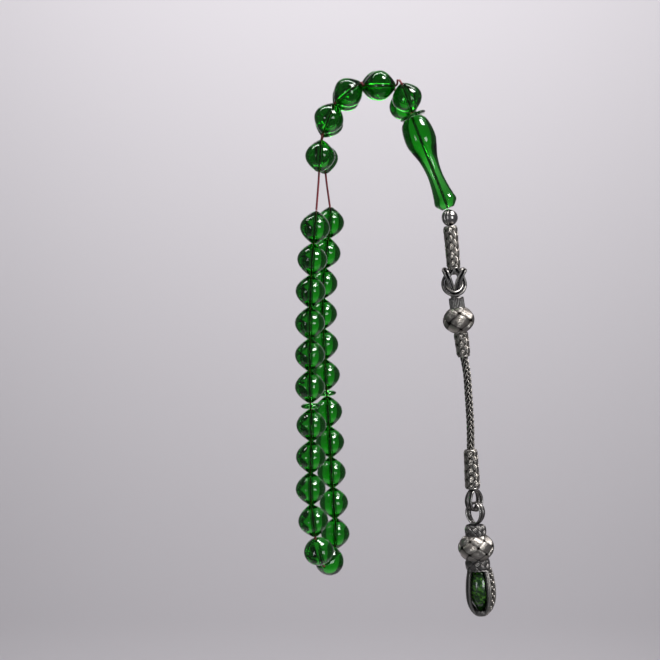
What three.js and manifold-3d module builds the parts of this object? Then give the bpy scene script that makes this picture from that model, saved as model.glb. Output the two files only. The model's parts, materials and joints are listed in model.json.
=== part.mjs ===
// Misbaha: thirty-three resin beads on a knotted cord, with a leader bead and a woven silver tassel.
// Millimetres, +Z up. The origin is the top of the finger that the bead loop is draped over.
import * as THREE from 'three';
import { mergeVertices } from 'three/addons/utils/BufferGeometryUtils.js';
import Module from 'manifold-3d';

// beads and cord
const BEAD_RADIUS = 4.42;
const BEAD_LENGTH = 9.0;
const POLE_SHARPNESS = 2.05;
const BEAD_SIDES = 12;
const BORE_RADIUS = 0.92;
const FIT_GAP = 0.3;
const BEAD_PITCH = BEAD_LENGTH + FIT_GAP;
const CORD_RADIUS = 0.34;
const DIVIDER_RADIUS = 2.9;
const DIVIDER_THICKNESS = 1.6;

// leader
const LEADER_TILT = 21.8;
const LEADER_TOP = [11.25, 0, -4.95];
const DISC_CENTRE = [11.65, 0, -4.8];
const DISC_RADIUS = 4.0;
const DISC_THICKNESS = 0.7;
const LEADER_START = 0.65;
const LEADER_BORE = 1.1;
const LEADER_PROFILE = [
  [0, 2.8], [1.5, 4.0], [4.5, 4.6], [7.5, 4.6], [10, 3.9], [13.5, 2.8],
  [18, 2.3], [22, 2.6], [25, 3.1], [27, 3.45], [28.2, 2.6], [29, 1.9],
];

// tassel
const SLEEVE_WALL = 0.55;
const WIRE_RADIUS = 0.43;
const ROPE_RADIUS = 1.2;
const ROPE_JOINT_GAP = 0.8;
const LINK_WIDTH = 5.8;
const LINK_WIRE = 0.45;
const LINK_SPREAD = 0.72;
const LINK_YAW = 40;

// routes of the cord, by hand, in the order in which the beads are strung
const SADDLE_FRONT = [
  [6.75, -6.2, 4.7], [5.6, -5.9, 4.2], [1.85, -5.6, 3.1], [-3.6, -5.6, 3.6], [-8.0, -5.7, 0.9],
  [-11.4, -5.9, -2.6], [-13.6, -6.1, -6.9], [-15.2, -6.3, -12.4], [-16.1, -6.5, -18.0],
  [-16.6, -6.8, -26.0], [-17.2, -7.0, -33.7],
];
const SADDLE_BACK = [
  [5.9, 6.0, 5.6], [5.0, 5.8, 5.7], [0.9, 5.4, 5.5], [-3.6, 5.4, 5.0], [-8.2, 5.5, 2.1], [-11.6, 5.7, -2.2],
  [-14.0, 6.0, -7.0], [-15.2, 6.15, -11.8], [-15.0, 6.3, -18.0], [-14.15, 6.65, -24.6], [-13.2, 7.0, -31.4],
];
const HANGING_LOOP = [
  [-17.2, -7.0, -34.0], [-17.6, -7.0, -38.8], [-18.4, -7.0, -48.0], [-18.9, -7.0, -57.3],
  [-19.1, -7.0, -66.6], [-19.1, -7.0, -75.9], [-19.1, -7.0, -85.2], [-18.7, -7.0, -96.4],
  [-18.8, -7.0, -105.7], [-18.9, -7.1, -115.0], [-18.2, -7.3, -124.3], [-16.7, -6.6, -133.2],
  [-15.4, -3.4, -137.2], [-13.6, 1.0, -138.6], [-12.2, 5.1, -136.6], [-11.6, 7.1, -131.7],
  [-12.0, 7.4, -122.4], [-12.7, 7.2, -113.1], [-13.2, 7.0, -103.8], [-13.8, 7.0, -94.5],
  [-14.5, 7.0, -83.3], [-15.0, 7.0, -74.0], [-15.4, 7.0, -64.7], [-15.3, 7.0, -55.4],
  [-14.4, 7.0, -46.1], [-13.3, 7.0, -36.8], [-13.2, 7.0, -31.9],
];
const YOKE_FRONT = [
  [7.2, -6.6, 4.5], [8.0, -7.2, 3.0], [9.55, -5.4, -0.5], [11.4, -2.3, -3.9], [11.3, -0.9, -3.7],
];
const YOKE_BACK = [
  [6.35, 6.3, 5.2], [7.6, 7.2, 3.1], [9.25, 5.7, -0.65], [11.3, 2.4, -3.95], [11.25, 0.9, -3.75],
];
const ROPE_ROUTE = [
  [26.8, 0, -75.1], [27.0, 0, -77.2], [27.85, 0, -82.0], [28.3, 0, -87.7], [28.65, 0, -92.7],
  [28.95, 0, -98.5], [29.0, 0, -104.9], [29.0, 0, -106.4],
];

const wasm = await Module();
wasm.setup();

const finishes = {
  resin: { color: 0x0b7a12, roughness: 0.08, metalness: 0 },
  thread: { color: 0xa3303c, roughness: 0.85, metalness: 0 },
  silver: { color: 0x8b8681, roughness: 0.38, metalness: 1 },
  darkSilver: { color: 0x4a4644, roughness: 0.5, metalness: 1 },
  stone: { color: 0x1c5a1a, roughness: 0.2, metalness: 0 },
};

const root = new THREE.Group();
const down = new THREE.Vector3(0, 0, -1);

function addPart(name, geometry, finish, parent = root) {
  const mesh = new THREE.Mesh(geometry, new THREE.MeshStandardMaterial(finishes[finish]));
  mesh.name = name;
  parent.add(mesh);
  return mesh;
}

// a group whose own -Z runs from one point to another, for pieces that hang on an axis
function hangingGroup(from, to) {
  const group = new THREE.Group();
  const direction = new THREE.Vector3(...to).sub(new THREE.Vector3(...from)).normalize();
  group.position.set(...from);
  group.quaternion.setFromUnitVectors(down, direction);
  root.add(group);
  return group;
}

function curveThrough(points) {
  return new THREE.CatmullRomCurve3(points.map((p) => new THREE.Vector3(...p)), false, 'centripetal');
}

function circle(radius, sides) {
  const corners = Array.from({ length: sides }, (_, i) => {
    const angle = (2 * Math.PI * i) / sides;
    return new THREE.Vector2(radius * Math.cos(angle), radius * Math.sin(angle));
  });
  return new THREE.Shape(corners);
}

function tube(points, radius, steps, sides = 8) {
  return new THREE.ExtrudeGeometry(circle(radius, sides), { steps, extrudePath: curveThrough(points) });
}

// a turned piece about Z from [z, radius] pairs; a bore closes the profile on itself
function turned(profile, boreRadius, sides) {
  const outline = profile.map(([z, radius]) => new THREE.Vector2(radius, z));
  const top = profile[0][0];
  const bottom = profile.at(-1)[0];
  if (boreRadius > 0) {
    outline.unshift(new THREE.Vector2(boreRadius, top));
    outline.push(new THREE.Vector2(boreRadius, bottom), new THREE.Vector2(boreRadius, top));
  } else {
    outline.unshift(new THREE.Vector2(0, top));
    outline.push(new THREE.Vector2(0, bottom));
  }
  const geometry = new THREE.LatheGeometry(outline.reverse(), sides);
  geometry.rotateX(Math.PI / 2);
  return geometry;
}

// a ball drawn out to softly pointed poles, cut off flat where its bore comes out
function beadGeometry() {
  const poleRadius = BORE_RADIUS + 0.12;
  const half = BEAD_LENGTH / 2;
  const tip = half / Math.pow(1 - poleRadius / BEAD_RADIUS, 1 / POLE_SHARPNESS);
  const rows = 9;
  const profile = Array.from({ length: rows + 1 }, (_, i) => {
    const z = half * Math.cos((Math.PI * i) / rows);
    return [z, BEAD_RADIUS * (1 - Math.pow(Math.abs(z) / tip, POLE_SHARPNESS))];
  });
  return turned(profile, BORE_RADIUS, BEAD_SIDES);
}

function ellipsoidProfile(width, height, rows, endRadius) {
  const start = Math.asin(endRadius / (width / 2));
  return Array.from({ length: rows + 1 }, (_, i) => {
    const angle = start + ((Math.PI - 2 * start) * i) / rows;
    return [(height / 2 / Math.cos(start)) * Math.cos(angle), (width / 2) * Math.sin(angle)];
  });
}

// the parameter of the first point of a curve beyond startU that lies a straight distance away
function stepAlong(curve, startU, distance) {
  const from = curve.getPointAt(startU);
  let u = startU;
  while (u < 1 && curve.getPointAt(u).distanceTo(from) < distance) u += 0.0005;
  return Math.min(u, 1);
}

// how far along a curve, from 0 to 1, the curve comes closest to a point
function lengthBefore(curve, point) {
  const target = new THREE.Vector3(...point);
  let best = 0;
  for (let u = 0; u <= 1; u += 0.001) {
    if (curve.getPointAt(u).distanceTo(target) < curve.getPointAt(best).distanceTo(target)) best = u;
  }
  return best;
}

function threadOn(name, geometry, finish, centre, axis) {
  const mesh = addPart(name, geometry, finish);
  mesh.position.copy(centre);
  mesh.quaternion.setFromUnitVectors(down, axis);
}

const beadShape = beadGeometry();
const dividerShape = turned([
  [DIVIDER_THICKNESS / 2, 1.5], [0.35, DIVIDER_RADIUS],
  [-0.35, DIVIDER_RADIUS], [-DIVIDER_THICKNESS / 2, 1.5],
], BORE_RADIUS, 16);

const beadName = (number) => `bead_${String(number).padStart(2, '0')}`;

// strings pieces along a route and lays the cord straight through their bores and freely between them;
// each item has a bead number or a divider's name, and its distance from the piece before it
function stringPieces(cordName, points, items, steps) {
  const curve = curveThrough(points);
  const cordPoints = [points[0]];
  let u = 0;
  for (const { piece, distance } of items) {
    u = stepAlong(curve, u, distance);
    const centre = curve.getPointAt(u);
    const axis = curve.getTangentAt(u).normalize();
    const isBead = typeof piece === 'number';
    if (isBead) threadOn(beadName(piece), beadShape, 'resin', centre, axis);
    else threadOn(piece, dividerShape, 'resin', centre, axis);
    const reach = isBead ? BEAD_LENGTH / 2 : 0;
    for (const along of isBead ? [-reach, 0, reach] : [0]) {
      cordPoints.push(centre.clone().addScaledVector(axis, along).toArray());
    }
  }
  const looseEnd = points.filter((point) => lengthBefore(curve, point) > u + 0.02);
  addPart(cordName, tube([...cordPoints, ...looseEnd.slice(-2)], CORD_RADIUS, steps), 'thread');
}

const BEAD_TO_DIVIDER = BEAD_LENGTH / 2 + FIT_GAP + DIVIDER_THICKNESS / 2;
const END_TO_BEAD = BEAD_LENGTH / 2 + FIT_GAP;
const ROUND_BEND_PITCH = 9.35;

function beadRun(first, last) {
  return Array.from({ length: last - first + 1 }, (_, i) => ({ piece: first + i, distance: BEAD_PITCH }));
}

function addStrands() {
  stringPieces('cord_yoke_front', YOKE_FRONT, [{ piece: 1, distance: 5.65 }], 10);
  stringPieces('cord_saddle_front', SADDLE_FRONT, [
    { piece: 2, distance: 5.6 }, { piece: 3, distance: 9.5 }, { piece: 4, distance: 9.6 },
    { piece: 5, distance: 11.4 },
  ], 40);
  stringPieces('cord_loop', HANGING_LOOP, [
    { piece: 6, distance: END_TO_BEAD }, ...beadRun(7, 11),
    { piece: 'divider_disc_front', distance: BEAD_TO_DIVIDER },
    { piece: 12, distance: BEAD_TO_DIVIDER }, ...beadRun(13, 16),
    { piece: 17, distance: ROUND_BEND_PITCH }, { piece: 18, distance: ROUND_BEND_PITCH }, ...beadRun(19, 22),
    { piece: 'divider_disc_back', distance: BEAD_TO_DIVIDER },
    { piece: 23, distance: BEAD_TO_DIVIDER }, ...beadRun(24, 28),
  ], 76);
  // the back strand over the finger is strung from the leader's side, so its numbers run backwards
  stringPieces('cord_saddle_back', SADDLE_BACK, [
    { piece: 32, distance: 5.1 }, { piece: 31, distance: 9.7 }, { piece: 30, distance: BEAD_PITCH },
    { piece: 29, distance: 11.0 },
  ], 40);
  stringPieces('cord_yoke_back', YOKE_BACK, [{ piece: 33, distance: 6.5 }], 10);
}

function alongLeader(distance) {
  const tilt = THREE.MathUtils.degToRad(LEADER_TILT);
  return [
    LEADER_TOP[0] + distance * Math.sin(tilt), 0, LEADER_TOP[2] - distance * Math.cos(tilt),
  ];
}

function addLeader() {
  const group = hangingGroup(LEADER_TOP, alongLeader(1));
  const half = DISC_THICKNESS / 2;
  const discProfile = [[half, 3.6], [0.15, DISC_RADIUS], [-0.15, DISC_RADIUS], [-half, 3.6]];
  const disc = addPart('leader_disc', turned(discProfile, LEADER_BORE, 24), 'resin');
  disc.position.set(...DISC_CENTRE);
  disc.quaternion.copy(group.quaternion);
  const profile = LEADER_PROFILE.map(([z, radius]) => [-LEADER_START - z, radius]);
  addPart('leader_bead', turned(profile, LEADER_BORE, 20), 'resin', group);
  const cordEnds = tube([[0, 0, -0.9], [0, 0, -15], [0, 0, -29.4]], 0.75, 3);
  addPart('cord_leader', cordEnds, 'thread', group);
}

function sleeve(name, from, to, topRadius, bottomRadius) {
  const group = hangingGroup(from, to);
  const length = new THREE.Vector3(...to).distanceTo(new THREE.Vector3(...from));
  const profile = [
    [0, topRadius - 0.3], [-0.8, topRadius], [-length + 1.2, bottomRadius], [-length, bottomRadius - 0.4],
  ];
  const bore = Math.min(topRadius, bottomRadius) - SLEEVE_WALL - 0.1;
  addPart(name, turned(profile, bore, 14), 'silver', group);
}

function addUpperTassel() {
  const ball = addPart('top_ball', turned(ellipsoidProfile(4.9, 4.7, 8, 0.8), 0, 14), 'silver');
  ball.position.set(22.75, 0, -35.35);
  sleeve('sleeve_upper', [22.85, 0, -38.0], [23.95, 0, -50.6], 2.15, 2.1);
  const hook = [
    [23.0, 0.35, -51.2], [22.2, 0.55, -52.2], [21.25, 0.55, -53.6], [21.15, 0.1, -55.4], [22.2, -1.1, -57.4],
    [24.35, -1.7, -58.1], [26.4, -1.1, -57.4], [27.2, 0.1, -55.4], [26.9, 0.55, -53.6], [25.8, 0.55, -52.2],
    [24.95, 0.35, -51.2],
  ];
  addPart('hook_loop', tube(hook, WIRE_RADIUS, 22), 'silver');
}

function addMiddleTassel() {
  const ring = [
    [23.9, 0.75, -58.95], [23.35, 0.2, -57.0], [21.9, -0.8, -54.0], [20.95, -1.2, -51.7], [20.85, 0.4, -50.9],
    [21.9, 2.6, -50.9], [24.0, 3.3, -51.0], [26.1, 2.6, -50.9], [27.2, 0.4, -50.9], [27.1, -1.2, -51.7],
    [26.5, -0.8, -54.0], [25.35, 0.2, -57.0], [24.95, 0.75, -58.95],
  ];
  addPart('ring_loop', tube(ring, WIRE_RADIUS, 28), 'silver');
  const ferruleGroup = hangingGroup([24.6, 0, -59.3], [25.02, 0, -62.1]);
  const ferrule = [[0, 1.9], [-0.4, 2.25], [-2.5, 2.25], [-2.75, 2.0]];
  addPart('ferrule', turned(ferrule, 1.3, 16), 'darkSilver', ferruleGroup);
  const ballGroup = hangingGroup([25.4, 0, -66.0], [25.9, 0, -69.8]);
  addPart('woven_ball_upper', turned(ellipsoidProfile(9.5, 7.6, 8, 1.9), 1.3, 18), 'silver', ballGroup);
  sleeve('sleeve_middle', [26.05, 0, -70.0], [26.95, 0, -76.9], 2.15, 2.1);
}

// the braided rope is one length; its two halves turn against each other halfway down
function addRope() {
  const curve = curveThrough(ROPE_ROUTE);
  const halfGap = ROPE_JOINT_GAP / 2 / curve.getLength();
  const part = (from, to) => Array.from({ length: 9 }, (_, i) => {
    return curve.getPointAt(from + ((to - from) * i) / 8).toArray();
  });
  addPart('rope_upper_half', tube(part(0, 0.5 - halfGap), ROPE_RADIUS, 8), 'darkSilver');
  addPart('rope_lower_half', tube(part(0.5 + halfGap, 1), ROPE_RADIUS, 8), 'darkSilver');
}

// an upright oval ring: a torus whose two halves are drawn apart
function ovalRing(width, height, wireRadius) {
  const geometry = new THREE.TorusGeometry(width / 2 - wireRadius, wireRadius, 8, 20);
  geometry.rotateX(Math.PI / 2);
  const position = geometry.getAttribute('position');
  const stretch = (height - width) / 2;
  for (let i = 0; i < position.count; i += 1) {
    const z = position.getZ(i);
    if (Math.abs(z) > 1e-4) position.setZ(i, z + Math.sign(z) * stretch);
  }
  return geometry;
}

function toSolid(geometry) {
  const plain = geometry.clone();
  plain.deleteAttribute('normal');
  plain.deleteAttribute('uv');
  const merged = mergeVertices(plain, 1e-4);
  return new wasm.Manifold(new wasm.Mesh({
    numProp: 3,
    vertProperties: new Float32Array(merged.getAttribute('position').array),
    triVerts: new Uint32Array(merged.getIndex().array),
  }));
}

function fromSolid(solid) {
  const mesh = solid.getMesh();
  const geometry = new THREE.BufferGeometry();
  geometry.setAttribute('position', new THREE.BufferAttribute(mesh.vertProperties, 3));
  geometry.setIndex(new THREE.BufferAttribute(mesh.triVerts, 1));
  geometry.computeVertexNormals();
  return geometry;
}

// two parallel oval rings joined by a short bar at one end
function doubleLink(height, barZ) {
  const rings = [-LINK_SPREAD, LINK_SPREAD].map((offset) => {
    return toSolid(ovalRing(LINK_WIDTH, height, LINK_WIRE).translate(0, offset, 0));
  });
  const bar = toSolid(new THREE.BoxGeometry(1.6, 2 * LINK_SPREAD + 0.5, 0.5).translate(0, 0, barZ));
  return fromSolid(rings[0].add(rings[1]).add(bar));
}

function addLowerTassel() {
  sleeve('sleeve_lower', [28.95, 0, -104.9], [29.6, 0, -116.4], 2.05, 2.3);
  const upper = addPart('upper_links', doubleLink(6.8, 2.95), 'silver');
  upper.position.set(30.0, 0, -120.1);
  upper.rotation.z = THREE.MathUtils.degToRad(LINK_YAW);
  const lower = addPart('lower_links', doubleLink(6.8, -2.95), 'silver');
  lower.position.set(30.35, 0, -123.95);
  lower.rotation.z = THREE.MathUtils.degToRad(-LINK_YAW);
}

function addDropEnd() {
  const collarTop = [[0, 2.5], [-0.7, 3.2], [-1.9, 3.2], [-2.4, 2.8]];
  const topGroup = hangingGroup([30.4, 0, -127.7], [30.5, 0, -130.1]);
  addPart('collar_upper', turned(collarTop, 0.9, 18), 'darkSilver', topGroup);
  const ball = turned(ellipsoidProfile(10.8, 7.9, 8, 2.2), 0.9, 20);
  addPart('woven_ball_lower', ball, 'silver', hangingGroup([30.65, 0, -134.2], [30.9, 0, -138]));
  const collarLow = [[0, 2.9], [-0.5, 3.7], [-1.6, 3.7], [-2.2, 3.1]];
  const lowGroup = hangingGroup([31.05, 0, -138.3], [31.2, 0, -140.5]);
  addPart('collar_lower', turned(collarLow, 0.9, 18), 'darkSilver', lowGroup);
}

const STONE_PROFILE = [
  [0, 1.6], [-1.2, 2.6], [-3.2, 3.25], [-6.0, 3.45], [-8.6, 3.05], [-10.6, 2.0], [-11.6, 0.8],
];
// straps of the cage: bearing about the drop in degrees, width in mm
const CAGE_STRAPS = [[-68, 2.2], [-28, 2.9], [75, 2.2], [135, 2.2], [203, 2.0]];
const CAGE_OUTLINE = [[3.2, -0.3], [3.85, -2.6], [4.15, -6.0], [3.9, -9.4], [2.8, -12.0], [1.3, -13.3]];

function cageStrap(bearing, width) {
  const section = new THREE.Shape();
  section.moveTo(-width / 2, -0.3).lineTo(width / 2, -0.3).lineTo(width / 2, 0.3).lineTo(-width / 2, 0.3);
  const path = curveThrough(CAGE_OUTLINE.map(([radius, z]) => [radius, 0, z]));
  const strap = new THREE.ExtrudeGeometry(section, { steps: 9, extrudePath: path });
  return toSolid(strap.rotateZ(THREE.MathUtils.degToRad(bearing)));
}

function addDrop() {
  const group = hangingGroup([31.5, 0, -140.8], [32.2, 0, -154.6]);
  addPart('drop_stone', turned(STONE_PROFILE.map(([z, r]) => [z - 0.5, r]), 0, 16), 'stone', group);
  const collar = toSolid(turned([[0, 3.6], [-0.6, 3.6]], 2.9, 24));
  const foot = toSolid(turned([[-12.7, 1.9], [-13.7, 1.4]], 0, 16));
  const straps = CAGE_STRAPS.map(([bearing, width]) => cageStrap(bearing, width));
  const cage = straps.reduce((solid, strap) => solid.add(strap), collar.add(foot));
  addPart('drop_cage', fromSolid(cage), 'silver', group);
}

addStrands();
addLeader();
addUpperTassel();
addMiddleTassel();
addRope();
addLowerTassel();
addDropEnd();
addDrop();

export default root;
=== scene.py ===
# Misbaha of clear green resin beads with a woven silver tassel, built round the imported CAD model.
import json
import math
import bmesh
import bpy
from mathutils import Matrix, Vector
from mathutils.kdtree import KDTree


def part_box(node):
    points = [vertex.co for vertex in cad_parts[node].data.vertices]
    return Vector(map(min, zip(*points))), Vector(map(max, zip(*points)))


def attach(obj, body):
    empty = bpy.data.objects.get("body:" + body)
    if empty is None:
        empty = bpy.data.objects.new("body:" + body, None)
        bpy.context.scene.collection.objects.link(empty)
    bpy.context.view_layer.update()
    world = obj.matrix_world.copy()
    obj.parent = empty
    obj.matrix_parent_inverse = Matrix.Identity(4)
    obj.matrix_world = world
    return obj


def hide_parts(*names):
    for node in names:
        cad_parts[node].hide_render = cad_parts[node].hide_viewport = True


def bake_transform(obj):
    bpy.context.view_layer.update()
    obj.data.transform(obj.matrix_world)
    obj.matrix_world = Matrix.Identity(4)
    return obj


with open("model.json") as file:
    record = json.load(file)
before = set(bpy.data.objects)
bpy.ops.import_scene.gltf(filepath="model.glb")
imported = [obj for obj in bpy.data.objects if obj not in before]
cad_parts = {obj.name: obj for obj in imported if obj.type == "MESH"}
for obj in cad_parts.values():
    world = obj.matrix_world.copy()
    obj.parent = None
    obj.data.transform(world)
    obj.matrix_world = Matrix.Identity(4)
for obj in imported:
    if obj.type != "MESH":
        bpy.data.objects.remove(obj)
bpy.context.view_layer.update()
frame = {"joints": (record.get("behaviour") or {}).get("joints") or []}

mm = 0.001


def point(x, y, z):
    return Vector((x * mm, y * mm, z * mm))


def linear(hexColour):
    # an sRGB hex value as the linear colour that shaders take
    channels = [int(hexColour[i:i + 2], 16) / 255 for i in (1, 3, 5)]
    return [c / 12.92 if c <= 0.04045 else ((c + 0.055) / 1.055) ** 2.4 for c in channels] + [1.0]


def addNode(material, kind, settings=None, inputs=None, links=None):
    # one node with its settings, its own socket values and its incoming links
    node = material.node_tree.nodes.new(kind)
    for key, value in (settings or {}).items():
        setattr(node, key, value)
    for key, value in (inputs or {}).items():
        node.inputs[key].default_value = value
    for key, source in (links or {}).items():
        material.node_tree.links.new(source, node.inputs[key])
    return node


def newMaterial(name):
    material = bpy.data.materials.new(name)
    material.use_nodes = True
    material.node_tree.nodes.clear()
    return material


def finishMaterial(material, surface, volume=None):
    links = {"Surface": surface}
    if volume:
        links["Volume"] = volume
    addNode(material, "ShaderNodeOutputMaterial", links=links)
    return material


def centreOf(node):
    low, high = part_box(node)
    return (low + high) / 2


def jointOf(child):
    return next(joint for joint in frame["joints"] if joint["child"] == child)


def axisOf(node):
    return Vector(jointOf(node)["axis"]).normalized()


# camera, at the height of the middle of the string
camera = {"distance": 330, "aimX": -13.2, "aimZ": -69.0, "lens": 60.0, "sensor": 36.0}

cameraData = bpy.data.cameras.new("camera")
cameraData.lens = camera["lens"]
cameraData.sensor_width = camera["sensor"]
cameraData.clip_start = 0.01
cameraData.clip_end = 20
cameraObject = bpy.data.objects.new("camera", cameraData)
cameraObject.location = point(camera["aimX"], -camera["distance"], camera["aimZ"])
cameraObject.rotation_euler = (math.pi / 2, 0, 0)
bpy.context.scene.collection.objects.link(cameraObject)
bpy.context.scene.camera = cameraObject


# tracks: smooth lines that wires and cords follow
def catmull(points, count):
    # count places evenly spread along a smooth line through the points
    padded = [points[0] * 2 - points[1], *points, points[-1] * 2 - points[-2]]
    fine = []
    for i in range(1, len(padded) - 2):
        p0, p1, p2, p3 = padded[i - 1:i + 3]
        for k in range(24):
            t = k / 24
            fine.append(0.5 * (2 * p1 + (p2 - p0) * t + (2 * p0 - 5 * p1 + 4 * p2 - p3) * t * t
                               + (3 * p1 - p0 - 3 * p2 + p3) * t ** 3))
    fine.append(points[-1].copy())
    lengths = [0.0]
    for a, b in zip(fine, fine[1:]):
        lengths.append(lengths[-1] + (b - a).length)
    even, j = [], 0
    for k in range(count):
        goal = lengths[-1] * k / (count - 1)
        while j < len(lengths) - 2 and lengths[j + 1] < goal:
            j += 1
        step = lengths[j + 1] - lengths[j]
        even.append(fine[j].lerp(fine[j + 1], (goal - lengths[j]) / step if step else 0))
    return even


def makeTrack(points, count=120):
    # places along a line, each with two directions across it that turn as little as possible
    places = catmull(points, count)
    tangents = [(places[min(i + 1, count - 1)] - places[max(i - 1, 0)]).normalized() for i in range(count)]
    side = tangents[0].cross(Vector((0, 1, 0)))
    side = (side if side.length > 0.1 else tangents[0].cross(Vector((1, 0, 0)))).normalized()
    track = []
    for place, tangent in zip(places, tangents):
        side = (side - tangent * side.dot(tangent)).normalized()
        track.append((place, side, tangent.cross(side)))
    return track


def onTrack(track, t, angle, lift):
    # the place a fraction t along a track, turned by angle about it and lifted off it
    f = min(max(t, 0), 1) * (len(track) - 1)
    i = min(int(f), len(track) - 2)
    part = f - i
    place = track[i][0].lerp(track[i + 1][0], part)
    side = track[i][1].lerp(track[i + 1][1], part)
    across = track[i][2].lerp(track[i + 1][2], part)
    return place + (side * math.cos(angle) + across * math.sin(angle)) * lift


def trackLength(track):
    return sum((b[0] - a[0]).length for a, b in zip(track, track[1:]))


def link(name, mesh, material):
    piece = bpy.data.objects.new(name.replace(" ", "_"), mesh)
    mesh.materials.append(material)
    bpy.context.scene.collection.objects.link(piece)
    return piece


def turnedMesh(name, profile, sides, closed=False, sharp=35):
    # a profile of (z, radius) pairs spun about Z; a closed one has a bore and joins its own ends
    bm = bmesh.new()
    ring = [bm.verts.new((radius, 0, z)) for z, radius in profile]
    edges = [bm.edges.new(pair) for pair in zip(ring, ring[1:])]
    if closed:
        edges.append(bm.edges.new((ring[-1], ring[0])))
    bmesh.ops.spin(bm, geom=ring + edges, cent=(0, 0, 0), axis=(0, 0, 1), dvec=(0, 0, 0),
                   angle=2 * math.pi, steps=sides, use_merge=True, use_duplicate=False)
    bmesh.ops.remove_doubles(bm, verts=bm.verts, dist=1e-7)
    bmesh.ops.recalc_face_normals(bm, faces=bm.faces)
    for face in bm.faces:
        face.smooth = True
    mesh = bpy.data.meshes.new(name)
    bm.to_mesh(mesh)
    bm.free()
    mesh.set_sharp_from_angle(angle=math.radians(sharp))
    return mesh


def placed(mesh, centre, axis):
    # moves a mesh turned about Z so that its -Z runs along axis through centre
    turn = Vector((0, 0, -1)).rotation_difference(axis).to_matrix().to_4x4()
    mesh.transform(Matrix.Translation(centre) @ turn)
    return mesh


def wireMesh(name, paths, radius, cyclic=False, resolution=1):
    # round wires along any number of paths, as one mesh; a path may also carry how high each place stands
    curve = bpy.data.curves.new(name, "CURVE")
    curve.dimensions = "3D"
    curve.bevel_depth = radius
    curve.bevel_resolution = resolution
    curve.use_fill_caps = not cyclic
    for path in paths:
        spline = curve.splines.new("POLY")
        spline.points.add(len(path) - 1)
        for place, p in zip(spline.points, path):
            place.co = (*p[0], 1)
        spline.use_cyclic_u = cyclic
    holder = bpy.data.objects.new(name, curve)
    bpy.context.scene.collection.objects.link(holder)
    bpy.context.view_layer.update()
    mesh = bpy.data.meshes.new_from_object(holder.evaluated_get(bpy.context.evaluated_depsgraph_get()))
    bpy.data.objects.remove(holder)
    bpy.data.curves.remove(curve)
    mesh.polygons.foreach_set("use_smooth", [True] * len(mesh.polygons))
    markCrowns(mesh, [p for path in paths for p in path], radius)
    return mesh


def markCrowns(mesh, places, radius):
    # how high each vertex stands, from 0 in the hollows of a weave to 1 on its crowns
    tree = KDTree(len(places))
    for i, (place, _, _) in enumerate(places):
        tree.insert(place, i)
    tree.balance()
    heights = []
    for vertex in mesh.vertices:
        place, outward, rise = places[tree.find(vertex.co)[1]]
        facing = (vertex.co - place).dot(outward) / radius
        heights.append(min(max(0.5 + 0.3 * rise + 0.2 * facing, 0), 1))
    mesh.attributes.new("crown", "FLOAT", "POINT").data.foreach_set("value", heights)


def joinMeshes(name, meshes):
    bm = bmesh.new()
    for mesh in meshes:
        bm.from_mesh(mesh)
    joined = bpy.data.meshes.new(name)
    bm.to_mesh(joined)
    bm.free()
    return joined


def tubeSurface(track, radiusAt):
    # places on a round tube about a track, at a depth below its outside
    def surface(t, angle, depth):
        outer = onTrack(track, t, angle, radiusAt(t) - depth)
        return outer, (outer - onTrack(track, t, angle, 0)).normalized()
    return surface


def ballSurface(centre, axis, width, height, endRadius):
    # places on a ball with open ends whose own -Z runs along axis
    turn = Vector((0, 0, -1)).rotation_difference(axis)
    start = math.asin(endRadius / (width / 2))
    halfWidth, halfHeight = width / 2, height / 2 / math.cos(start)

    def surface(t, angle, depth):
        slope = start + (math.pi - 2 * start) * t
        out = Vector((math.sin(slope) / halfWidth, math.cos(slope) / halfHeight)).normalized()
        radius = halfWidth * math.sin(slope) - out.x * depth
        place = Vector((radius * math.cos(angle), radius * math.sin(angle),
                        halfHeight * math.cos(slope) - out.y * depth))
        outward = Vector((out.x * math.cos(angle), out.x * math.sin(angle), out.y))
        return centre + turn @ place, turn @ outward
    return surface


def weaveOn(name, surface, weave):
    # two families of bands of parallel wires that wind round a surface against each other, over and under
    bands, turns, wires, steps = weave["bands"], weave["turns"], weave["wires"], weave["steps"]
    wire, cover, lift = weave["wire"] * mm, weave.get("cover", 0.96), weave.get("lift", 0.65)
    flat, columns = weave.get("flat", 2.2), weave.get("columns", 0)
    paths = []
    for way in (1, -1):
        for band in range(bands):
            for w in range(wires):
                shift = ((w + 0.5) / wires - 0.5) * cover
                path = []
                for k in range(steps + 1):
                    t = k / steps
                    angle = 2 * math.pi * (band / bands + way * turns * t + shift / bands)
                    if columns:
                        wave = way * math.cos(columns * angle)
                    else:
                        wave = way * math.cos(2 * math.pi * bands * turns * t + way * math.pi * shift)
                    rise = math.tanh(flat * wave) / math.tanh(flat)
                    border = (2 * abs(shift)) ** 6
                    place, outward = surface(t, angle, wire * (1 + lift * (1 - rise) + 0.5 * border))
                    path.append((place, outward, rise - 2.2 * border))
                paths.append(path)
    return wireMesh(name, paths, wire, resolution=weave.get("round", 0))


def surfaceMesh(name, surface, depth, sides=40, rows=40):
    # a closed dark core that lies under a weave: painted shade, seen in the gaps between its wires
    bm = bmesh.new()
    rings = []
    for row in range(rows + 1):
        ring = [bm.verts.new(surface(row / rows, 2 * math.pi * k / sides, depth)[0]) for k in range(sides)]
        rings.append([bm.edges.new((ring[k - 1], ring[k])) for k in range(sides)])
    for a, b in zip(rings, rings[1:]):
        bmesh.ops.bridge_loops(bm, edges=a + b)
    bmesh.ops.holes_fill(bm, edges=rings[0] + rings[-1], sides=0)
    bmesh.ops.recalc_face_normals(bm, faces=bm.faces)
    for face in bm.faces:
        face.smooth = True
    mesh = bpy.data.meshes.new(name)
    bm.to_mesh(mesh)
    bm.free()
    mesh.set_sharp_from_angle(angle=math.radians(40))
    return mesh


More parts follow.
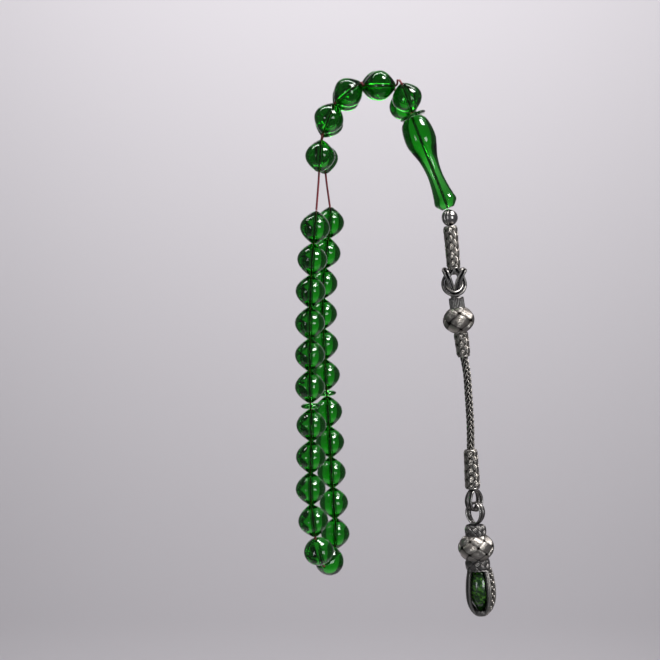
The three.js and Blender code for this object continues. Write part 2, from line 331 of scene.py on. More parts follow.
def ringMesh(name, surface, t, depth, wire, steps=48):
    # one wire bound round a surface
    path = []
    for k in range(steps):
        place, outward = surface(t, 2 * math.pi * k / steps, depth)
        path.append((place, outward, 1))
    return wireMesh(name, [path], wire, cyclic=True, resolution=1)


def twisted(name, track, strands, pitch, strandRadius, offset, steps):
    # strands laid round each other along a track, one turn every pitch
    turns = trackLength(track) / pitch
    paths = []
    for s in range(strands):
        phase = 2 * math.pi * s / strands
        path = []
        for k in range(steps + 1):
            angle = phase + 2 * math.pi * turns * k / steps
            place = onTrack(track, k / steps, angle, offset)
            path.append((place, (place - onTrack(track, k / steps, angle, 0)).normalized(), 0))
        paths.append(path)
    return wireMesh(name, paths, strandRadius, resolution=1)


# a silver has its bright and dark colour, the levels between which it turns bright, and its roughness
surfaces = {
    "resin": "#10e200", "resinDensity": 610, "resinIor": 1.54,
    "thread": "#7a1d28",
    "stone": "#0e330c", "fleck": "#528c2c",
    "wovenSilver": ("#b4aea7", "#1a1613", 0.5, 0.8, 0.3),
    "ropeSilver": ("#a8a29b", "#1a1613", 0.55, 0.95, 0.3),
    "blackSilver": ("#85827f", "#141213", 0.35, 0.9, 0.33),
    "drawnSilver": ("#aaa6a2", "#1b191a", 0.42, 0.62, 0.3),
    "brightSilver": ("#bab6b2", "#7d7977", 0.3, 0.6, 0.18),
    "wireGapShade": ("#3a3636", "#141213", 0.3, 0.7, 0.6),
}


def surfaceNoise(material, scale, detail=3.0):
    coordinates = addNode(material, "ShaderNodeTexCoord")
    return addNode(material, "ShaderNodeTexNoise", inputs={"Scale": scale, "Detail": detail},
                   links={"Vector": coordinates.outputs["Object"]})


def makeResin(name, colour, density):
    # cast and polished resin: clear, green through its thickness, with faint handling marks on its gloss
    material = newMaterial(name)
    marks = surfaceNoise(material, 900)
    gloss = addNode(material, "ShaderNodeMapRange", inputs={"To Min": 0.02, "To Max": 0.09},
                    links={"Value": marks.outputs["Fac"]})
    bump = addNode(material, "ShaderNodeBump", inputs={"Strength": 0.03, "Distance": 0.0001},
                   links={"Height": marks.outputs["Fac"]})
    surface = addNode(material, "ShaderNodeBsdfPrincipled", inputs={
        "Base Color": (1, 1, 1, 1), "Transmission Weight": 1.0, "IOR": surfaces["resinIor"]},
        links={"Roughness": gloss.outputs["Result"], "Normal": bump.outputs["Normal"]})
    volume = addNode(material, "ShaderNodeVolumeAbsorption", inputs={"Color": colour, "Density": density})
    return finishMaterial(material, surface.outputs["BSDF"], volume.outputs["Volume"])


def makeThread(name, colour):
    # dyed twisted nylon: dull and a little fuzzy, its colour uneven along the fibres
    material = newMaterial(name)
    fibres = surfaceNoise(material, 2500, 5)
    ramp = addNode(material, "ShaderNodeValToRGB", links={"Fac": fibres.outputs["Fac"]})
    ramp.color_ramp.elements[0].position = 0.3
    ramp.color_ramp.elements[0].color = [c * 0.4 for c in colour[:3]] + [1]
    ramp.color_ramp.elements[1].position = 0.7
    ramp.color_ramp.elements[1].color = [min(c * 1.6, 1) for c in colour[:3]] + [1]
    bump = addNode(material, "ShaderNodeBump", inputs={"Strength": 0.5, "Distance": 0.0001},
                   links={"Height": fibres.outputs["Fac"]})
    surface = addNode(material, "ShaderNodeBsdfPrincipled", inputs={
        "Roughness": 0.75, "Sheen Weight": 0.5, "Sheen Roughness": 0.4},
        links={"Base Color": ramp.outputs["Color"], "Normal": bump.outputs["Normal"]})
    return finishMaterial(material, surface.outputs["BSDF"])


def makeSilver(name, finish, woven=True):
    # aged silver, bright where it is rubbed and dark with oxide in its hollows
    bright, dark, low, high, roughness = finish
    material = newMaterial(name)
    patches = surfaceNoise(material, 350, 4)
    if woven:
        crown = addNode(material, "ShaderNodeAttribute", {"attribute_name": "crown"})
        height = crown.outputs["Fac"]
        worn = addNode(material, "ShaderNodeMath", {"operation": "MULTIPLY_ADD"}, {1: 0.16, 2: -0.08},
                       {0: patches.outputs["Fac"]})
        level = addNode(material, "ShaderNodeMath", {"operation": "ADD"}, links={
            0: height, 1: worn.outputs["Value"]}).outputs["Value"]
    else:
        level = patches.outputs["Fac"]
    ramp = addNode(material, "ShaderNodeValToRGB", links={"Fac": level})
    ramp.color_ramp.elements[0].position = low
    ramp.color_ramp.elements[0].color = linear(dark)
    ramp.color_ramp.elements[1].position = high
    ramp.color_ramp.elements[1].color = linear(bright)
    dull = addNode(material, "ShaderNodeMapRange", inputs={
        "From Min": low, "From Max": high, "To Min": roughness + 0.25, "To Max": roughness},
        links={"Value": level})
    surface = addNode(material, "ShaderNodeBsdfPrincipled", inputs={"Metallic": 1.0},
                      links={"Base Color": ramp.outputs["Color"], "Roughness": dull.outputs["Result"]})
    return finishMaterial(material, surface.outputs["BSDF"])


def makeStone(name, colour, fleckColour):
    # dark green glass with brighter flecks, some of them metal, under a polished surface;
    # the flecks are drawn about 0.6 mm across, coarser than the real ones, so that they show
    material = newMaterial(name)
    coordinates = addNode(material, "ShaderNodeTexCoord")
    cells = addNode(material, "ShaderNodeTexVoronoi", inputs={"Scale": 1700},
                    links={"Vector": coordinates.outputs["Object"]})
    fleck = addNode(material, "ShaderNodeSeparateColor", links={"Color": cells.outputs["Color"]})
    ramp = addNode(material, "ShaderNodeValToRGB", links={"Fac": fleck.outputs["Red"]})
    ramp.color_ramp.elements[0].position = 0.5
    ramp.color_ramp.elements[0].color = colour
    ramp.color_ramp.elements[1].position = 0.95
    ramp.color_ramp.elements[1].color = fleckColour
    metal = addNode(material, "ShaderNodeMath", {"operation": "GREATER_THAN"}, {1: 0.86},
                    {0: fleck.outputs["Red"]})
    tilt = addNode(material, "ShaderNodeBump", inputs={"Strength": 0.6, "Distance": 0.0002},
                   links={"Height": fleck.outputs["Green"]})
    surface = addNode(material, "ShaderNodeBsdfPrincipled", inputs={
        "Roughness": 0.25, "Coat Weight": 1.0, "Coat Roughness": 0.04},
        links={"Base Color": ramp.outputs["Color"], "Metallic": metal.outputs["Value"],
               "Normal": tilt.outputs["Normal"]})
    return finishMaterial(material, surface.outputs["BSDF"])


resin = makeResin("polished green resin", linear(surfaces["resin"]), surfaces["resinDensity"])
thread = makeThread("twisted dyed nylon", linear(surfaces["thread"]))
wovenSilver = makeSilver("woven silver wire", surfaces["wovenSilver"])  # pale lozenges with dark edges
ropeSilver = makeSilver("braided silver rope", surfaces["ropeSilver"])  # pale strokes over black gaps
blackSilver = makeSilver("oxidised silver wire", surfaces["blackSilver"])  # dark collars and plaits
drawnSilver = makeSilver("drawn silver wire", surfaces["drawnSilver"])  # smooth grey with soft glints
brightSilver = makeSilver("polished silver", surfaces["brightSilver"], woven=False)  # a near mirror
# painted shade: the dark metal of the cores, strips and foot under the wirework, so that the gaps between
# the wires look dark
wireGapShade = makeSilver("painted shade between wires", surfaces["wireGapShade"], woven=False)  # the dark between the wires
stoneGlass = makeStone("flecked green glass", linear(surfaces["stone"]), linear(surfaces["fleck"]))
print("materials made")


def show(piece, body, slot, *nodes):
    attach(piece, body)
    if nodes:
        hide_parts(*nodes)


# beads, dividers and leader
bead = {"count": 33, "radius": 4.42, "length": 9.24, "pointed": 2.05, "tip": 5.1, "bore": 0.5,
        "sides": 48, "rows": 30}
divider = {"radius": 2.9, "thickness": 1.6, "bore": 0.8}
leader = {"start": (11.25, 0, -4.95), "tilt": 21.8, "bore": 0.3, "gap": 0.65,
          "discRadius": 4.0, "discThickness": 0.7, "discBore": 1.0,
          "profile": [(0, 2.8), (1.5, 4.0), (4.5, 4.6), (7.5, 4.6), (10, 3.9), (13.5, 2.8),
                      (18, 2.3), (22, 2.6), (25, 3.1), (27, 3.45), (28.2, 2.6), (29, 1.9)]}


def boreProfile(outline, bore):
    # closes an outline of (z, radius) pairs with the wall of its bore, in short steps
    top, bottom = outline[0][0], outline[-1][0]
    wall = [(bottom + (top - bottom) * k / 10, bore) for k in range(11)]
    return [(z * mm, radius * mm) for z, radius in outline + wall]


def beadOutline():
    half, rows = bead["length"] / 2, []
    for k in range(bead["rows"] + 1):
        z = half * math.cos(math.pi * k / bead["rows"])
        rows.append((z, bead["radius"] * (1 - abs(z / bead["tip"]) ** bead["pointed"])))
    return [(half + 0.04, rows[0][1] - 0.18)] + rows + [(-half - 0.04, rows[0][1] - 0.18)]


def makeBeads():
    profile = boreProfile(beadOutline(), bead["bore"])
    for number in range(1, bead["count"] + 1):
        node = f"bead_{number:02d}"
        mesh = turnedMesh(f"resin {node}", profile, bead["sides"], closed=True)
        placed(mesh, centreOf(node), axisOf(node))
        show(link(f"resin {node}", mesh, resin), node, "green_resin", node)
    print("beads made")


def makeDividers():
    half = divider["thickness"] / 2
    outline = [(half, 1.3), (half * 0.9, 2.1), (half * 0.6, 2.6), (half * 0.25, 2.85),
               (0, divider["radius"])]
    outline += [(-z, radius) for z, radius in outline[-2::-1]]
    for node in ("divider_disc_front", "divider_disc_back"):
        mesh = placed(turnedMesh(f"resin {node}", boreProfile(outline, divider["bore"]), 40, closed=True),
                      centreOf(node), axisOf(node))
        show(link(f"resin {node}", mesh, resin), node, "green_resin", node)
    print("dividers made")


def leaderPoint(distance):
    tilt = math.radians(leader["tilt"])
    x, y, z = leader["start"]
    return point(x + distance * math.sin(tilt), y, z - distance * math.cos(tilt))


def smoothProfile(pairs, count):
    places = catmull([Vector((radius, 0, z)) for z, radius in pairs], count)
    return [(place.z, place.x) for place in places]


def makeLeader():
    axis = (leaderPoint(1) - leaderPoint(0)).normalized()
    half = leader["discThickness"] / 2
    disc = [(half, 3.5), (half * 0.8, 3.8), (half * 0.4, 3.95), (0, leader["discRadius"])]
    disc += [(-z, radius) for z, radius in disc[-2::-1]]
    mesh = placed(turnedMesh("resin leader disc", boreProfile(disc, leader["discBore"]), 48, closed=True),
                  centreOf("leader_disc"), axis)
    show(link("resin leader disc", mesh, resin), "leader_disc", "green_resin", "leader_disc")
    outline = smoothProfile([(-leader["gap"] - z, radius) for z, radius in leader["profile"]], 70)
    mesh = placed(turnedMesh("resin leader bead", boreProfile(outline, leader["bore"]), 56, closed=True),
                  leaderPoint(0), axis)
    show(link("resin leader bead", mesh, resin), "leader_bead", "green_resin", "leader_bead")
    print("leader made")


# cord through the beads
def beadPoles(node):
    centre, reach = centreOf(node), axisOf(node) * bead["length"] / 2 * mm
    return [centre - reach, centre, centre + reach]


def strungTrack(start, nodes, end):
    # a line from start through the bores of the beads, in order, to end
    places = list(start)
    for node in nodes:
        poles = beadPoles(node) if node.startswith("bead") else [centreOf(node)]
        if (poles[-1] - places[-1]).length < (poles[0] - places[-1]).length:
            poles.reverse()
        places += poles
    return makeTrack(places + list(end), 400)


# each strand of cord: where it starts, the pieces it runs through, where it ends and what it rides on
cord = {
    "strands": 3, "radius": 0.17, "offset": 0.17, "pitch": 1.4,
    "leaderRadius": 0.12, "leaderOffset": 0.13, "leaderPitch": 1.6,
    "leaderStops": (0.9, 15, 29.4),  # how far down the leader the cord starts, passes and ends
    "runs": {
        "cord_yoke_front": (
            [(7.2, -6.6, 4.5)], [(1, 1)],
            [(11.4, -2.3, -3.9), (11.3, -0.9, -3.7)], "leader_yoke"),
        "cord_yoke_back": (
            [(6.35, 6.3, 5.2)], [(33, 33)],
            [(11.3, 2.4, -3.95), (11.25, 0.9, -3.75)], "leader_yoke"),
        "cord_saddle_front": (
            [(6.75, -6.2, 4.7)], [(2, 5)],
            [(-16.6, -6.8, -26.0), (-17.2, -7.0, -33.7)], "finger_drape"),
        "cord_saddle_back": (
            [(5.9, 6.0, 5.6)], [(32, 29)],
            [(-14.15, 6.65, -24.6), (-13.2, 7.0, -31.4)], "finger_drape"),
        "cord_loop": (
            [(-17.2, -7.0, -34.0)],
            [(6, 11), "divider_disc_front", (12, 22), "divider_disc_back", (23, 28)],
            [(-13.2, 7.0, -31.9)], "hanging_loop"),
    },
}


def strungNames(runs):
    # the nodes of a strand in order; a run of beads is given by its first and last number
    names = []
    for run in runs:
        if isinstance(run, str):
            names.append(run)
        else:
            step = 1 if run[1] >= run[0] else -1
            names += [f"bead_{k:02d}" for k in range(run[0], run[1] + step, step)]
    return names


def makeCord(node, track, body):
    steps = int(trackLength(track) / (cord["pitch"] * mm) * 10)
    mesh = twisted(f"cord {node}", track, cord["strands"], cord["pitch"] * mm, cord["radius"] * mm,
                   cord["offset"] * mm, steps)
    show(link(f"cord {node}", mesh, thread), body, "cord_thread", node)


def makeCords():
    for node, (before, runs, after, body) in cord["runs"].items():
        track = strungTrack([point(*p) for p in before], strungNames(runs), [point(*p) for p in after])
        makeCord(node, track, body)
    track = makeTrack([leaderPoint(stop) for stop in cord["leaderStops"]], 60)
    mesh = twisted("cord_leader", track, cord["strands"], cord["leaderPitch"] * mm,
                   cord["leaderRadius"] * mm, cord["leaderOffset"] * mm, 190)
    show(link("cord_leader", mesh, thread), "leader_yoke", "cord_thread", "cord_leader")
    print("cords made")


# braided rope
rope = {"radius": 1.2, "bands": 7, "wires": 1, "wire": 0.27, "lift": 0.9, "lozenge": 1.75, "columns": 3,
        "steps": 420, "round": 2, "coreDepth": 0.65, "exit": (26.95, 0, -76.9),
        "places": 200, "bend": (94, 106),  # the bend is spread between these places of the route
        "route": [(26.8, 0, -75.1), (27.0, 0, -77.2), (27.85, 0, -82.0), (28.3, 0, -87.7),
                  (28.65, 0, -92.7), (28.95, 0, -98.5), (29.0, 0, -104.9), (29.0, 0, -106.4)]}


def makeRope():
    track = makeTrack([point(*p) for p in rope["route"]], rope["places"])
    length = trackLength(track)
    surface = tubeSurface(track, lambda t: rope["radius"] * mm)
    weave = dict(rope, turns=length / mm / rope["lozenge"] / rope["bands"])
    woven = weaveOn("braided rope", surface, weave)
    piece = link("braided rope", woven, ropeSilver)
    # painted shade: a dark core under the braid, seen in the gaps between its wires
    core = link("rope core", surfaceMesh("rope core", surface, rope["coreDepth"] * mm, 16, 60), wireGapShade)
    for part, slot in ((piece, "silver_braid"), (core, "dark_silver")):
        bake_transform(part)
    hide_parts("rope_upper_half", "rope_lower_half")
    print("rope made")


# woven silver
sleeves = {
    "sleeve_upper": {"from": (22.85, 0, -37.9), "to": (23.95, 0, -50.55), "top": 2.2, "bottom": 2.1,
                     "body": "tassel_top"},
    "sleeve_middle": {"from": (26.0, 0, -69.6), "to": (26.95, 0, -76.9), "top": 2.25, "bottom": 2.1,
                      "body": "tassel_middle"},
    "sleeve_lower": {"from": (28.95, 0, -104.9), "to": (29.6, 0, -116.5), "top": 2.1, "bottom": 2.4,
                     "body": "tassel_lower"},
}
# the wires of sleeves and balls are drawn coarser and fewer than the real ones, so that they show
sleeveWeave = {"bands": 5, "wires": 6, "wire": 0.15, "lozenge": 2.5, "flat": 1.3, "lift": 1.0}
balls = {
    "woven_ball_upper": {"centre": (25.4, 0, -66.0), "towards": (25.9, 0, -69.8),
                         "width": 9.5, "height": 7.6, "end": 1.9, "body": "tassel_middle",
                         "bands": 4, "turns": 0.44, "wires": 14, "wire": 0.17, "steps": 56},
    "woven_ball_lower": {"centre": (30.62, 0, -134.2), "towards": (30.9, 0, -138),
                         "width": 10.8, "height": 7.9, "end": 2.4, "body": "drop",
                         "bands": 6, "turns": 0.38, "wires": 12, "wire": 0.17, "steps": 56},
}
collarWeave = {"bands": 9, "wires": 3, "wire": 0.24, "lozenge": 2.0, "steps": 40, "round": 1, "cover": 0.8}
collars = {
    "collar_upper": {"from": (30.4, 0, -127.6), "to": (30.5, 0, -130.8), "radius": 3.25},
    "collar_lower": {"from": (31.0, 0, -137.6), "to": (31.2, 0, -140.7), "radius": 3.75},
}


def lineSurface(size, radiusAt):
    # a round surface along a straight line; radiusAt takes mm from the top and mm to the bottom
    start, end = point(*size["from"]), point(*size["to"])
    length = (end - start).length / mm
    track = makeTrack([start, start.lerp(end, 0.5), end], 60)
    return tubeSurface(track, lambda t: radiusAt(t * length, (1 - t) * length) * mm), length


def makeSleeve(node, size):
    def radiusAt(down, up):
        radius = size["top"] + (size["bottom"] - size["top"]) * down / (down + up)
        return radius - max(0, 1 - down / 0.8) ** 2 * 0.45 - max(0, 1 - up / 1.2) ** 2 * 0.4
    surface, length = lineSurface(size, radiusAt)
    bands = sleeveWeave["bands"]
    weave = dict(sleeveWeave, turns=length / sleeveWeave["lozenge"] / bands, steps=int(length * 9))
    woven = weaveOn(node, surface, weave)
    wire = sleeveWeave["wire"] * mm
    rings = [ringMesh(node, surface, t, wire, wire * 1.5) for t in (0.012, 0.99)]
    piece = link(f"woven {node}", joinMeshes(node, [woven, *rings]), wovenSilver)
    show(piece, size["body"], "woven_silver", node)
    # painted shade: a dark core under the weave, seen in the gaps between its wires
    core = surfaceMesh(f"{node} core", surface, 4 * wire)
    show(link(f"{node} core", core, wireGapShade), size["body"], "dark_silver")


def makeBall(node, size):
    centre = point(*size["centre"])
    axis = (point(*size["towards"]) - centre).normalized()
    surface = ballSurface(centre, axis, size["width"] * mm, size["height"] * mm, size["end"] * mm)
    woven = weaveOn(node, surface, size)
    show(link(f"woven {node}", woven, wovenSilver), size["body"], "woven_silver", node)
    # painted shade: a dark core under the weave, seen in the gaps between its wires
    core = surfaceMesh(f"{node} core", surface, 4 * size["wire"] * mm)
    show(link(f"{node} core", core, wireGapShade), size["body"], "dark_silver")


def makeCollar(node, size):
    # a ring of coarse braid, worked over the end of the ball
    def radiusAt(down, up):
        return size["radius"] - 0.55 * abs((down - up) / (down + up)) ** 3
    surface, length = lineSurface(size, radiusAt)
    turns = length / collarWeave["lozenge"] / collarWeave["bands"]
    woven = weaveOn(node, surface, dict(collarWeave, turns=turns))
    show(link(f"braided {node}", woven, blackSilver), "drop", "dark_silver", node)
    # painted shade: a dark core under the braid, seen in the gaps between its wires
    core = surfaceMesh(f"{node} core", surface, 0.8 * mm)
    show(link(f"{node} core", core, wireGapShade), "drop", "dark_silver")


ferrule = {"from": (24.62, 0, -59.3), "to": (25.1, 0, -62.7), "radius": 2.3, "count": 26, "wire": 0.27}


def makeFerrule():
    # a short tube of upright wires between the ring loop and the ball
    surface = lineSurface(ferrule, lambda down, up: ferrule["radius"] - 0.15 * max(0, 1 - down / 0.5))[0]
    wire = ferrule["wire"] * mm
    paths = []
    for k in range(ferrule["count"]):
        angle = 2 * math.pi * k / ferrule["count"]
        paths.append([(*surface(t / 8, angle, wire), 0.6) for t in range(9)])
    parts = [wireMesh("ferrule", paths, wire, resolution=1)]
    parts += [ringMesh("ferrule", surface, t, wire * 0.8, wire) for t in (0.06, 0.94)]
    piece = link("ferrule wires", joinMeshes("ferrule", parts), blackSilver)
    show(piece, "tassel_middle", "dark_silver", "ferrule")
    # painted shade: a dark core under the upright wires, seen in the gaps between them
    core = surfaceMesh("ferrule core", surface, 1.5 * wire)
    show(link("ferrule core", core, wireGapShade), "tassel_middle", "dark_silver")


topBall = {"centre": (22.72, 0, -35.3), "radius": 2.42, "ribs": (198, 222, 246), "rib": 0.24}


def makeTopBall():
    # a polished ball with three ribs down its left side
    centre, radius = point(*topBall["centre"]), topBall["radius"] * mm
    profile = [(radius * math.cos(a), radius * math.sin(a))
               for a in [math.pi * (0.06 + 0.88 * k / 28) for k in range(29)]]
    profile = [(profile[0][0], 0.0)] + profile + [(profile[-1][0], 0.0)]
    mesh = placed(turnedMesh("top ball", profile, 56, sharp=50), centre, Vector((0, 0, -1)))
    show(link("top ball", mesh, brightSilver), "tassel_top", "silver_wire", "top_ball")
    paths = []
    for bearing in topBall["ribs"]:
        path = []
        for k in range(25):
            a = math.pi * (0.1 + 0.8 * k / 24)
            out = Vector((math.sin(a) * math.cos(math.radians(bearing)),
                          math.sin(a) * math.sin(math.radians(bearing)), math.cos(a)))
            path.append((centre + out * (radius - 0.02 * mm), out, 0.9))
        paths.append(path)
    ribs = wireMesh("top ball ribs", paths, topBall["rib"] * mm, resolution=2)
    show(link("top ball ribs", ribs, drawnSilver), "tassel_top", "silver_wire")


# loops of doubled wire
loops = {
    # middle line of each band of two wires, in mm, and the wires' radius
    "hook_loop": {"wire": 0.46, "body": "tassel_top", "line": [
        (23.7, 0.5, -50.3), (22.9, 0.6, -51.7), (21.6, 0.6, -53.4), (21.1, 0.3, -55.3),
        (21.75, -0.9, -57.2), (23.9, -1.7, -58.25), (26.0, -0.9, -57.4), (27.0, 0.3, -55.6),
        (26.5, 0.6, -53.4), (25.2, 0.6, -51.7), (24.4, 0.5, -50.3)]},
    "ring_loop": {"wire": 0.47, "body": "tassel_middle", "line": [
        (24.1, 0.5, -59.6), (23.6, 0.1, -57.3), (22.6, -0.8, -54.6), (21.6, -1.3, -52.2),
        (21.2, -0.3, -51.1), (21.7, 2.1, -51.2), (24.0, 3.2, -51.4), (26.5, 2.1, -51.1),
        (27.0, -0.3, -50.9), (26.35, -1.3, -51.9), (25.3, -0.8, -54.4), (24.8, 0.1, -57.0),
        (24.7, 0.5, -59.6)]},
}


def bandOfTwo(name, places, facing, wire):
    # two wires side by side along a line; facing is the side of the band that is seen
    sides = []
    for side in (-1, 1):
        path = []
        for i, place in enumerate(places):
            tangent = (places[min(i + 2, len(places) - 1)] - places[max(i - 2, 0)]).normalized()
            across = tangent.cross(facing(place)).normalized() * side
            path.append((place + across * wire * 1.02, across, 0.1))
        sides.append(path)
    return wireMesh(name, sides, wire, resolution=3)


def makeLoops():
    for node, size in loops.items():
        places = catmull([point(*p) for p in size["line"]], 110)
        middle = sum(places, Vector()) / len(places)
        turnUp = point(middle.x / mm, 60, middle.z / mm)
        mesh = bandOfTwo(node, places, lambda place: (turnUp - place).normalized(), size["wire"] * mm)
        show(link(f"doubled {node}", mesh, drawnSilver), size["body"], "silver_wire", node)


links = {
    "upper_links": {"centre": (30.0, 0, -119.9), "yaw": 40, "pinch": 1, "body": "tassel_lower"},
    "lower_links": {"centre": (30.35, 0, -123.95), "yaw": -40, "pinch": -1, "body": "drop"},
}
linkSize = {"width": 5.7, "height": 7.0, "wire": 0.31, "spread": 0.78}


def makeLinks():
    # each pair is two ovals, and each oval is two wires side by side, drawn in where it is held
    for node, size in links.items():
        centre, yaw = point(*size["centre"]), math.radians(size["yaw"])
        wide, normal = Vector((math.cos(yaw), math.sin(yaw), 0)), Vector((-math.sin(yaw), math.cos(yaw), 0))
        halfWidth = linkSize["width"] / 2 - linkSize["wire"]
        halfHeight = linkSize["height"] / 2 - linkSize["wire"]
        paths = []
        for ring in (-1, 1):
            for side in (-1, 1):
                offset = ring * linkSize["spread"] + side * linkSize["wire"] * 1.02
                path = []
                for k in range(64):
                    a = 2 * math.pi * k / 64
                    held = (1 + size["pinch"] * math.cos(a)) / 2
                    x = halfWidth * math.sin(a) * (1 - 0.25 * held ** 3)
                    z = halfHeight * math.cos(a)
                    lean = offset * (1 - 0.35 * held ** 4)
                    offCentre = wide * x + normal * lean + Vector((0, 0, z))
                    path.append((centre + offCentre * mm, normal * side, 0.2))
                paths.append(path)
        mesh = wireMesh(node, paths, linkSize["wire"] * mm, cyclic=True, resolution=2)
        show(link(f"doubled {node}", mesh, drawnSilver), size["body"], "silver_wire", node)


# drop
drop = {"from": (31.5, 0, -140.8), "to": (32.2, 0, -154.6),
        "stone": [(0.1, 1.6), (-1.2, 2.6), (-3.2, 3.3), (-6.0, 3.5), (-8.6, 3.1), (-10.6, 2.1),
                  (-12.0, 0.9)],
        "outline": [(3.3, 0.1), (3.85, -2.6), (4.15, -6.0), (3.9, -9.4), (2.8, -12.0), (1.5, -13.3)],
        # bearings about the drop in degrees; a plait also has the way it is twisted
        "plaits": [(196, 1), (213, -1), (-63, 1), (2, 1), (14, -1), (60, 1), (75, -1), (90, 1),
                   (128, -1), (143, 1)],
        "plaitWire": 0.24, "plaitPitch": 2.6,
        "strap": (-54, -8), "strapWire": 0.24, "bends": 7, "grain": 0.42,
        "strips": [(190, 218), (-68, -50), (-50, 18), (54, 96), (122, 149)], "stripLift": -0.45,
        "foot": [(-12.2, 0.0), (-12.2, 2.3), (-12.9, 2.25), (-13.5, 1.6), (-13.75, 0.8), (-13.8, 0.0)],
        # rings of wire as (radius, z), with a wave of so many crests that is so high
        "rings": [(2.3, -12.3), (2.25, -12.75), (1.9, -13.2), (1.4, -13.55), (3.45, 0.1)],
        "ringWire": 0.24, "crests": 15, "crest": 0.12}


def dropTurn():
    axis = (point(*drop["to"]) - point(*drop["from"])).normalized()
    return Vector((0, 0, -1)).rotation_difference(axis)


def cageLine(bearing, lift=0.0, count=60):
    # a line down the outside of the cage at a bearing
    turn, start = dropTurn(), point(*drop["from"])
    outline = catmull([Vector((radius, 0, z)) for radius, z in drop["outline"]], count)
    line = []
    angle = math.radians(bearing)
    for place in outline:
        radius = place.x + lift
        offAxis = Vector((radius * math.cos(angle), radius * math.sin(angle), place.z))
        line.append(start + turn @ (offAxis * mm))
    return line


def outwardOf(place):
    turn, start = dropTurn(), point(*drop["from"])
    local = turn.inverted() @ (place - start)
    return turn @ Vector((local.x, local.y, 0)).normalized()


def plaitedLine(line, wire, pitch, way):
    # three wires laid round each other along a line of the cage
    track = makeTrack(line[::6] + [line[-1]], 90)
    turns, paths = trackLength(track) / pitch * way, []
    for s in range(3):
        path = []
        for k in range(151):
            angle = 2 * math.pi * (s / 3 + turns * k / 150)
            place, middle = onTrack(track, k / 150, angle, wire * 1.1), onTrack(track, k / 150, angle, 0)
            outward = outwardOf(place)
            path.append((place, outward, 0.1 + 0.9 * (place - middle).normalized().dot(outward)))
        paths.append(path)
    return wireMesh("plait", paths, wire, resolution=1)


def openStrap(left, right):
    # a strap of two edge wires, a zigzag between them and a grain of silver in each bend
    wire = drop["strapWire"] * mm
    parts = []
    for bearing in (left, right):
        edge = [(p, outwardOf(p), 0.9) for p in cageLine(bearing, 0.3)]
        parts.append(wireMesh("edge", [edge], wire * 1.2))
    zigzag, grains = [], []
    count = 2 * drop["bends"] + 1
    for k, pair in enumerate(zip(cageLine(left, 0.2, count), cageLine(right, 0.2, count))):
        bend, across = pair[k % 2], pair[1 - k % 2]
        zigzag.append(bend)
        grains.append(across.lerp(bend, 0.3))
    parts.append(wireMesh("zigzag", [[(p, outwardOf(p), 0.3) for p in catmull(zigzag, 180)]], wire))
    bm = bmesh.new()
    for place in grains:
        bmesh.ops.create_icosphere(bm, subdivisions=2, radius=drop["grain"] * mm,
                                   matrix=Matrix.Translation(place + outwardOf(place) * 0.15 * mm))
    mesh = bpy.data.meshes.new("grains")
    bm.to_mesh(mesh)
    bm.free()
    mesh.polygons.foreach_set("use_smooth", [True] * len(mesh.polygons))
    mesh.attributes.new("crown", "FLOAT", "POINT").data.foreach_set("value", [0.9] * len(mesh.vertices))
    return joinMeshes("strap", parts + [mesh])


def shadeBacking(left, right, lift):
    # the dark strip of metal that lies under a strap or a group of plaits: painted shade, seen in the gaps
    # between the wires
    bm = bmesh.new()
    rows = []
    for place in zip(*(cageLine(left + (right - left) * k / 6, lift, 40) for k in range(7))):
        verts = [bm.verts.new(p) for p in place]
        rows.append([bm.edges.new(pair) for pair in zip(verts, verts[1:])])
    for a, b in zip(rows, rows[1:]):
        bmesh.ops.bridge_loops(bm, edges=a + b)
    bmesh.ops.solidify(bm, geom=bm.faces[:], thickness=0.25 * mm)
    bmesh.ops.recalc_face_normals(bm, faces=bm.faces)
    for face in bm.faces:
        face.smooth = True
    mesh = bpy.data.meshes.new("shadeBacking")
    bm.to_mesh(mesh)
    bm.free()
    mesh.set_sharp_from_angle(angle=math.radians(40))
    return mesh


def footRing(ring, radius, z):
    # one waved ring of wire about the drop
    start, turn = point(*drop["from"]), dropTurn()
    path = []
    for k in range(60):
        angle = 2 * math.pi * k / 60
        outward = Vector((math.cos(angle), math.sin(angle), 0))
        height = z + drop["crest"] * math.sin(drop["crests"] * angle + ring)
        place = outward * radius + Vector((0, 0, height))
        path.append((start + turn @ (place * mm), turn @ outward, 0.4))
    return path


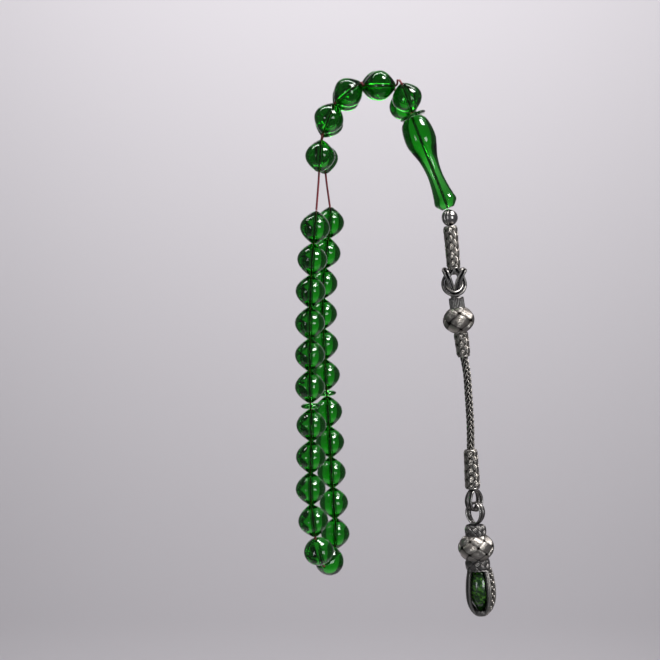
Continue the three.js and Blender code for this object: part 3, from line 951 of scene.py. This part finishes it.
def makeDrop():
    start = point(*drop["from"])
    axis = (point(*drop["to"]) - start).normalized()
    outline = smoothProfile(drop["stone"], 40)
    low = outline[-1][0]
    outline = [(outline[0][0], 0.0)] + outline + [(low - 0.25, 0.45), (low - 0.32, 0.0)]
    mesh = placed(turnedMesh("stone", [(z * mm, r * mm) for z, r in outline], 56, sharp=60), start, axis)
    show(link("drop stone", mesh, stoneGlass), "drop", "glitter_stone", "drop_stone")
    plaits = [plaitedLine(cageLine(bearing), drop["plaitWire"] * mm, drop["plaitPitch"] * mm, way)
              for bearing, way in drop["plaits"]]
    show(link("cage plaits", joinMeshes("plaits", plaits), blackSilver), "drop", "dark_silver", "drop_cage")
    show(link("cage strap", openStrap(*drop["strap"]), wovenSilver), "drop", "silver_wire")
    # painted shade: dark strips under the plaits and the strap, seen in the gaps between their wires
    strips = joinMeshes("strips", [shadeBacking(*edges, drop["stripLift"]) for edges in drop["strips"]])
    show(link("cage strips", strips, wireGapShade), "drop", "dark_silver")
    # the foot is drawn in the same dark metal, painted shade in the gaps between its rings of wire
    foot = placed(turnedMesh("foot", [(z * mm, r * mm) for z, r in drop["foot"]], 40), start, axis)
    show(link("cage foot", foot, wireGapShade), "drop", "dark_silver")
    paths = [footRing(ring, *size) for ring, size in enumerate(drop["rings"])]
    mesh = wireMesh("foot wires", paths, drop["ringWire"] * mm, cyclic=True)
    show(link("cage foot wires", mesh, blackSilver), "drop", "dark_silver")
    print("drop made")


def makeWoven():
    for node, size in sleeves.items():
        makeSleeve(node, size)
    for node, size in balls.items():
        makeBall(node, size)
    for node, size in collars.items():
        makeCollar(node, size)
    makeFerrule()
    makeTopBall()
    makeLoops()
    makeLinks()
    makeDrop()
    print("woven silver made")


# stage and light
stage = {"floor": -0.62, "wall": 1.0, "sweep": 0.2, "half": 0.56, "front": -0.15, "colour": "#c1bec1"}
room = {"colour": "#b8bac2", "strength": 0.22}
lights = [
    # name, place, aim, width, height, power, colour, in metres and watts
    ("key light", (0.30, -0.24, 0.43), (0.0, 0.0, -0.07), 0.26, 0.20, 4.5, "#ffffff"),
    ("right window", (0.40, -0.64, -0.06), (0.0, 0.0, -0.07), 0.24, 0.28, 1.5, "#eef2f6"),
    ("left window", (-0.46, -0.60, -0.15), (0.0, 0.0, -0.07), 0.16, 0.22, 0.55, "#eef2f6"),
    ("backdrop light", (0.0, 0.1, 0.75), (0.0, 1.0, 0.25), 1.2, 0.4, 16.1, "#fdfbfd"),
]


def makeStage():
    bm = bmesh.new()
    profile = [(stage["front"], stage["floor"])]
    for k in range(25):
        angle = math.pi / 2 * k / 24
        profile.append((stage["wall"] - stage["sweep"] + stage["sweep"] * math.sin(angle),
                        stage["floor"] + stage["sweep"] * (1 - math.cos(angle))))
    profile.append((stage["wall"], 1.4))
    line = [bm.verts.new((-stage["half"], y, z)) for y, z in profile]
    edges = [bm.edges.new(pair) for pair in zip(line, line[1:])]
    side = bmesh.ops.extrude_edge_only(bm, edges=edges)
    moved = [item for item in side["geom"] if isinstance(item, bmesh.types.BMVert)]
    bmesh.ops.translate(bm, verts=moved, vec=(2 * stage["half"], 0, 0))
    for face in bm.faces:
        face.smooth = True
    bmesh.ops.recalc_face_normals(bm, faces=bm.faces)
    mesh = bpy.data.meshes.new("backdrop")
    bm.to_mesh(mesh)
    bm.free()
    paper = newMaterial("matt paper")  # uncoated paper: pale and even, with no shine
    grain = surfaceNoise(paper, 400)
    bump = addNode(paper, "ShaderNodeBump", inputs={"Strength": 0.05, "Distance": 0.0005},
                   links={"Height": grain.outputs["Fac"]})
    surface = addNode(paper, "ShaderNodeBsdfPrincipled", inputs={
        "Base Color": linear(stage["colour"]), "Roughness": 0.95}, links={"Normal": bump.outputs["Normal"]})
    finishMaterial(paper, surface.outputs["BSDF"])
    link("backdrop", mesh, paper)
    print("stage made")


def makeLights():
    for name, place, aim, width, height, power, colour in lights:
        data = bpy.data.lights.new(name, "AREA")
        data.shape = "RECTANGLE"
        data.size, data.size_y = width, height
        data.energy = power
        data.color = linear(colour)[:3]
        lamp = bpy.data.objects.new(name, data)
        lamp.location = place
        lamp.rotation_euler = (Vector(place) - Vector(aim)).to_track_quat("Z", "Y").to_euler()
        bpy.context.scene.collection.objects.link(lamp)
    world = bpy.data.worlds.new("room")
    world.use_nodes = True
    world.node_tree.nodes["Background"].inputs["Color"].default_value = linear(room["colour"])
    world.node_tree.nodes["Background"].inputs["Strength"].default_value = room["strength"]
    bpy.context.scene.world = world
    print("lights made")


makeCords()
makeRope()
makeBeads()
makeDividers()
makeLeader()
makeWoven()
makeStage()
makeLights()
bpy.context.scene.view_settings.view_transform = "Standard"
